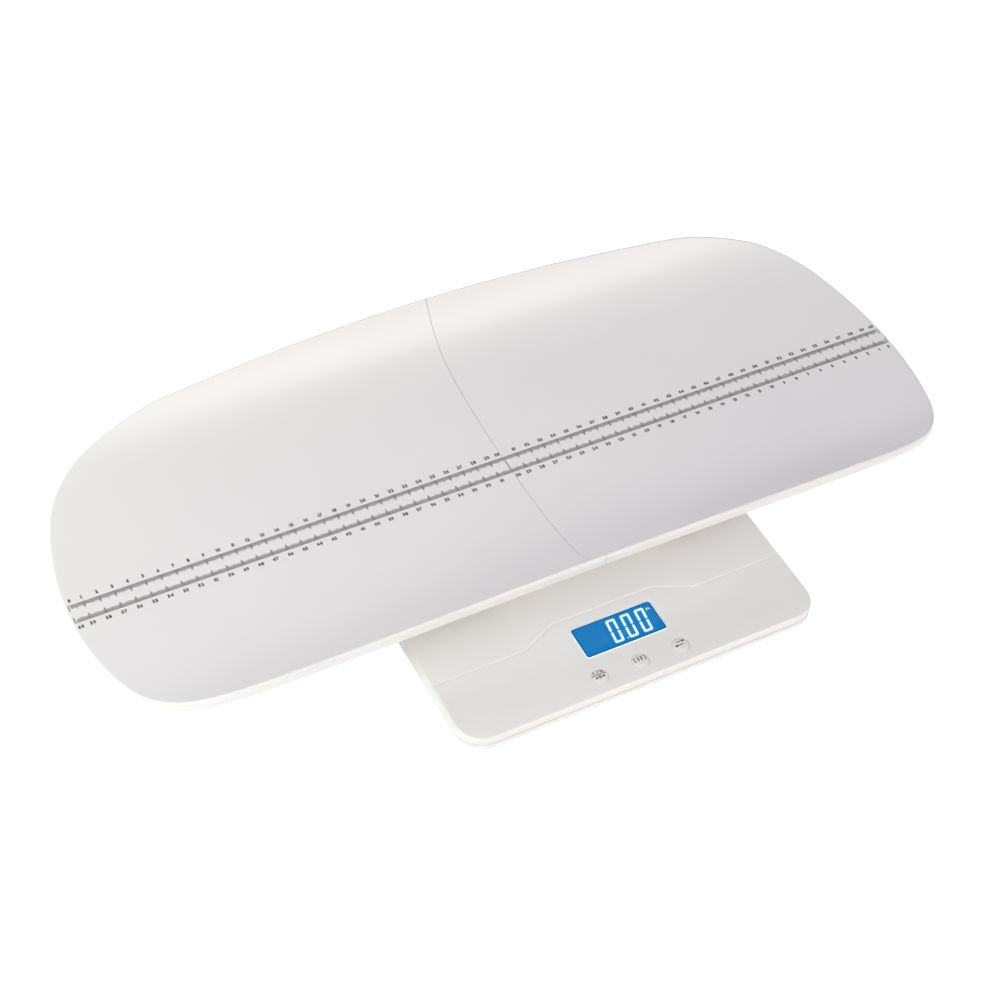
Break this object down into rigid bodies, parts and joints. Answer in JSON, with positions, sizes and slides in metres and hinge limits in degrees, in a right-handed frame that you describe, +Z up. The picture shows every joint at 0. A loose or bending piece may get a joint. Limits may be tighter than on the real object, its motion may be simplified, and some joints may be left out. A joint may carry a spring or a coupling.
{
  "type": "digital baby weighing scale",
  "caption": "Low electronic platform scale with a lit display and push buttons, under a wide trough-shaped weighing tray in two halves with a printed length ruler.",
  "frame": {"origin": "on the floor, under the middle of the whole part's length and depth", "axes": "+X along the tray to the right as the display is read, +Y away from the display side, +Z up"},
  "size_m": [0.606, 0.317, 0.0711],
  "materials": {
    "tray_shell": "moulded white ABS, satin gloss",
    "casing": "moulded warm white ABS, fine satin",
    "keycap": "moulded warm white ABS, satin",
    "clear_window": "clear moulded acrylic, polished",
    "display_glass": "blue lit liquid crystal display",
    "light_guide": "milky light guide",
    "board": "green solder mask on glass epoxy",
    "black_nylon": "moulded black nylon and resin",
    "white_nylon": "moulded natural nylon",
    "steel": "nickel plated steel",
    "rubber": "moulded dark grey rubber",
    "battery_jacket": "printed steel jacket",
    "wire_jacket": "soft PVC insulation"
  },
  "bodies": {
    "platform": {"platform_cover": "casing", "platform_pan": "casing", "cover_screw_side_left": "steel", "cover_screw_rear_left": "steel", "cover_screw_front_left": "steel", "cover_screw_side_right": "steel", "cover_screw_rear_right": "steel", "cover_screw_front_right": "steel", "display_window": "clear_window", "display_panel": "display_glass", "display_backlight": "light_guide", "circuit_board": "board", "board_screw_left": "steel", "board_screw_right": "steel", "controller_chip": "black_nylon", "wire_socket": "white_nylon", "switch_body_power": "black_nylon", "switch_body_hold": "black_nylon", "switch_body_unit": "black_nylon", "load_cell_front_left": "steel", "cell_bracket_front_left": "white_nylon", "foot_front_left": "casing", "foot_pad_front_left": "rubber", "load_cell_back_left": "steel", "cell_bracket_back_left": "white_nylon", "foot_back_left": "casing", "foot_pad_back_left": "rubber", "load_cell_front_right": "steel", "cell_bracket_front_right": "white_nylon", "foot_front_right": "casing", "foot_pad_front_right": "rubber", "load_cell_back_right": "steel", "cell_bracket_back_right": "white_nylon", "foot_back_right": "casing", "foot_pad_back_right": "rubber", "battery_front": "battery_jacket", "battery_back": "battery_jacket", "contact_spring_front": "steel", "contact_spring_back": "steel", "contact_tab_front": "steel", "contact_tab_back": "steel", "contact_bridge": "steel", "cell_wire_front_left": "wire_jacket", "cell_wire_back_left": "wire_jacket", "cell_wire_front_right": "wire_jacket", "cell_wire_back_right": "wire_jacket", "battery_lead_minus": "wire_jacket", "battery_lead_plus": "wire_jacket"},
    "tray_left_half": {"tray_left": "tray_shell", "join_tongue_front": "white_nylon", "join_tongue_back": "white_nylon"},
    "tray_right_half": {"tray_right": "tray_shell"},
    "power_button": {"button_power": "keycap", "switch_plunger_power": "white_nylon"},
    "hold_button": {"button_hold": "keycap", "switch_plunger_hold": "white_nylon"},
    "unit_button": {"button_unit": "keycap", "switch_plunger_unit": "white_nylon"},
    "door": {"battery_door": "casing"}
  },
  "joints": [
    {"name": "tray_lift", "type": "slide", "parent": "platform", "child": "tray_left_half", "axis": [0, 0, 1], "range_m": [0, 0.06]},
    {"name": "tray_part", "type": "slide", "parent": "tray_left_half", "child": "tray_right_half", "axis": [1, 0, 0], "range_m": [0, 0.045]},
    {"name": "power_press", "type": "slide", "parent": "platform", "child": "power_button", "axis": [0, 0, -1], "range_m": [0, 0.0008], "stiffness_N_per_m": 1800},
    {"name": "hold_press", "type": "slide", "parent": "platform", "child": "hold_button", "axis": [0, 0, -1], "range_m": [0, 0.0008], "stiffness_N_per_m": 1800},
    {"name": "unit_press", "type": "slide", "parent": "platform", "child": "unit_button", "axis": [0, 0, -1], "range_m": [0, 0.0008], "stiffness_N_per_m": 1800},
    {"name": "door_open", "type": "hinge", "parent": "platform", "child": "door", "pos_m": [0, 0.02425, 0.0069], "axis": [1, 0, 0], "range_deg": [0, 85]}
  ]
}
